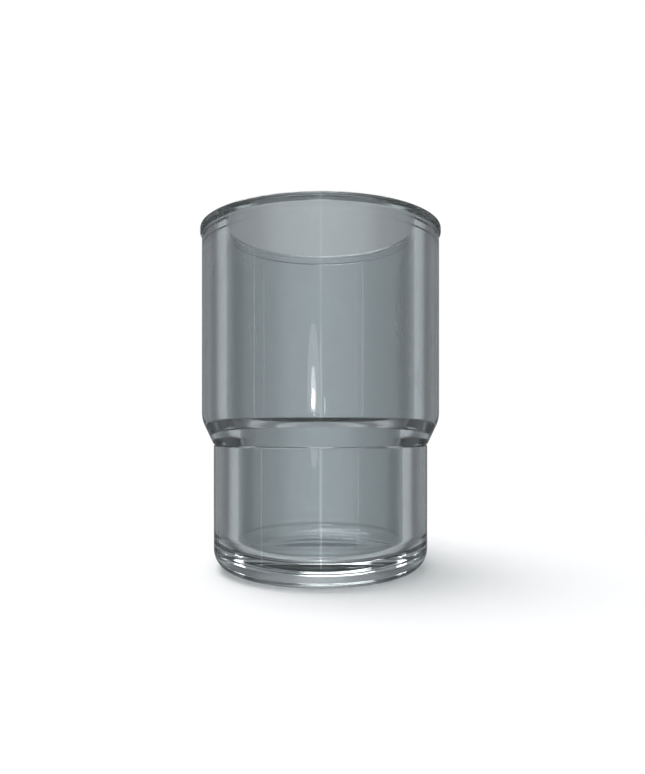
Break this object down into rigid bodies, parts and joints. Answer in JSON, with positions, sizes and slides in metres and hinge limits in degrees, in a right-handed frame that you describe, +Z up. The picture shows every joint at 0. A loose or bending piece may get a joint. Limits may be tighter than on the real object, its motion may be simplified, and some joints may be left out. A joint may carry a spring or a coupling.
{
  "type": "protein skimmer cup",
  "caption": "Clear thick-walled acrylic skimmer cup, wide above and narrower below a sloped shoulder, open at the top.",
  "frame": {"origin": "centre of the standing face, on the cup's axis", "axes": "+Z up along the cup's axis, from the standing face to the mouth; X and Y are any two directions across, because the cup is round"},
  "size_m": [0.071, 0.071, 0.1],
  "materials": {
    "clear_acrylic": "polished"
  },
  "bodies": {
    "root": {"base": "clear_acrylic", "lower_tube": "clear_acrylic", "shoulder_ring": "clear_acrylic", "upper_tube": "clear_acrylic", "rim_ring": "clear_acrylic"}
  },
  "joints": []
}
